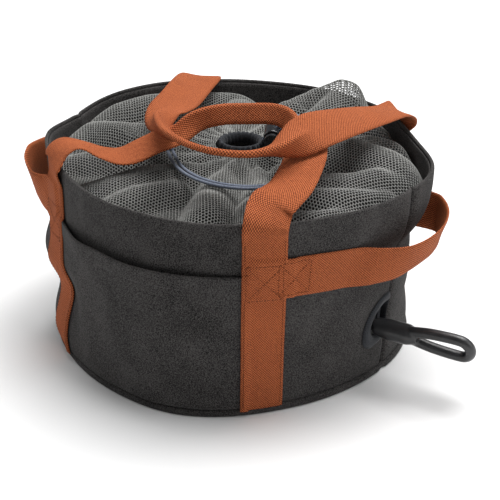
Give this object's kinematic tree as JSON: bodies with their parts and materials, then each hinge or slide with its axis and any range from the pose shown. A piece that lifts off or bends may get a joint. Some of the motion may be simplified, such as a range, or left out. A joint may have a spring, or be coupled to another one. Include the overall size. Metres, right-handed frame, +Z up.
{
  "type": "rope storage bag",
  "caption": "Round flat-bottomed canvas rope bag with a mesh drawcord top, webbing carry and grab handles, a front slip pocket and a side port with the rope's eye out.",
  "frame": {"origin": "middle of the base's underside, on the surface that the bag stands on", "axes": "+Z up through the mouth, -Y to the front where the pocket is, +X to the side where the rope comes out"},
  "size_m": [0.4467, 0.3696, 0.2417],
  "materials": {
    "canvas": "heather woven canvas",
    "lining": "plain woven lining",
    "webbing": "ribbed cotton webbing",
    "mesh": "knitted polyester net",
    "binding": "ribbed grosgrain tape",
    "cord": "braided cord",
    "rope": "braided rope",
    "rubber": "dipped, satin",
    "lock_plastic": "moulded, gloss",
    "board": "matt board",
    "spring_steel": "drawn wire"
  },
  "bodies": {
    "bag": {"base_binding": "binding", "base_board": "board", "base_panel": "canvas", "drawcord_channel": "binding", "drawcord_knot": "cord", "drawcord_loop": "cord", "drawcord_strand_left": "cord", "drawcord_strand_right": "cord", "front_pocket": "canvas", "grab_end_left_back": "webbing", "grab_end_left_front": "webbing", "grab_end_right_back": "webbing", "grab_end_right_front": "webbing", "leg_back_left": "webbing", "leg_back_right": "webbing", "leg_front_left": "webbing", "leg_front_right": "webbing", "mesh_top": "mesh", "pocket_hem": "canvas", "port_binding": "binding", "rim_facing": "lining", "rope_coil": "rope", "rope_eye": "rubber", "rope_lead": "rope", "seam_tape_left": "binding", "seam_tape_right": "binding", "wall_back": "canvas", "wall_front": "canvas"},
    "front_carry_handle": {"front_handle_arm_left": "webbing", "front_handle_grip": "webbing", "front_handle_arm_right": "webbing"},
    "back_carry_handle": {"back_handle_arm_left": "webbing", "back_handle_grip": "webbing", "back_handle_arm_right": "webbing"},
    "grab_handle_right": {"grab_loop_right": "webbing"},
    "grab_handle_left": {"grab_loop_left": "webbing"},
    "cord_lock": {"cord_lock_body": "lock_plastic", "cord_lock_spring": "spring_steel"},
    "cord_lock_plunger": {"cord_lock_button": "lock_plastic"}
  },
  "joints": [
    {"name": "back_carry_hinge", "type": "hinge", "parent": "bag", "child": "back_carry_handle", "pos_m": [0, 0.136, 0.198], "axis": [-1, 0, 0], "range_deg": [0, 165]},
    {"name": "front_carry_hinge", "type": "hinge", "parent": "bag", "child": "front_carry_handle", "pos_m": [0, -0.143, 0.197], "axis": [1, 0, 0], "range_deg": [0, 165]},
    {"name": "grab_hinge_right", "type": "hinge", "parent": "bag", "child": "grab_handle_right", "pos_m": [0.1765, -0.0565, 0.131], "axis": [0.0328, 0.9993, -0.0205], "range_deg": [-32, 15]},
    {"name": "grab_hinge_left", "type": "hinge", "parent": "bag", "child": "grab_handle_left", "pos_m": [-0.1535, -0.1085, 0.1627], "axis": [0.1393, -0.9751, 0.1727], "range_deg": [-16, 15]},
    {"name": "cord_lock_slide", "type": "slide", "parent": "bag", "child": "cord_lock", "axis": [0.6804, 0.1801, 0.7104], "range_m": [0, 0.01]},
    {"name": "cord_lock_press", "type": "slide", "parent": "cord_lock", "child": "cord_lock_plunger", "axis": [-0.4199, 0.8902, 0.1765], "range_m": [0, 0.003], "stiffness_N_per_m": 1500, "springref_m": -0.003}
  ],
  "couplings": [
    {"joint": "front_carry_hinge", "follows": "back_carry_hinge", "ratio": 1}
  ]
}
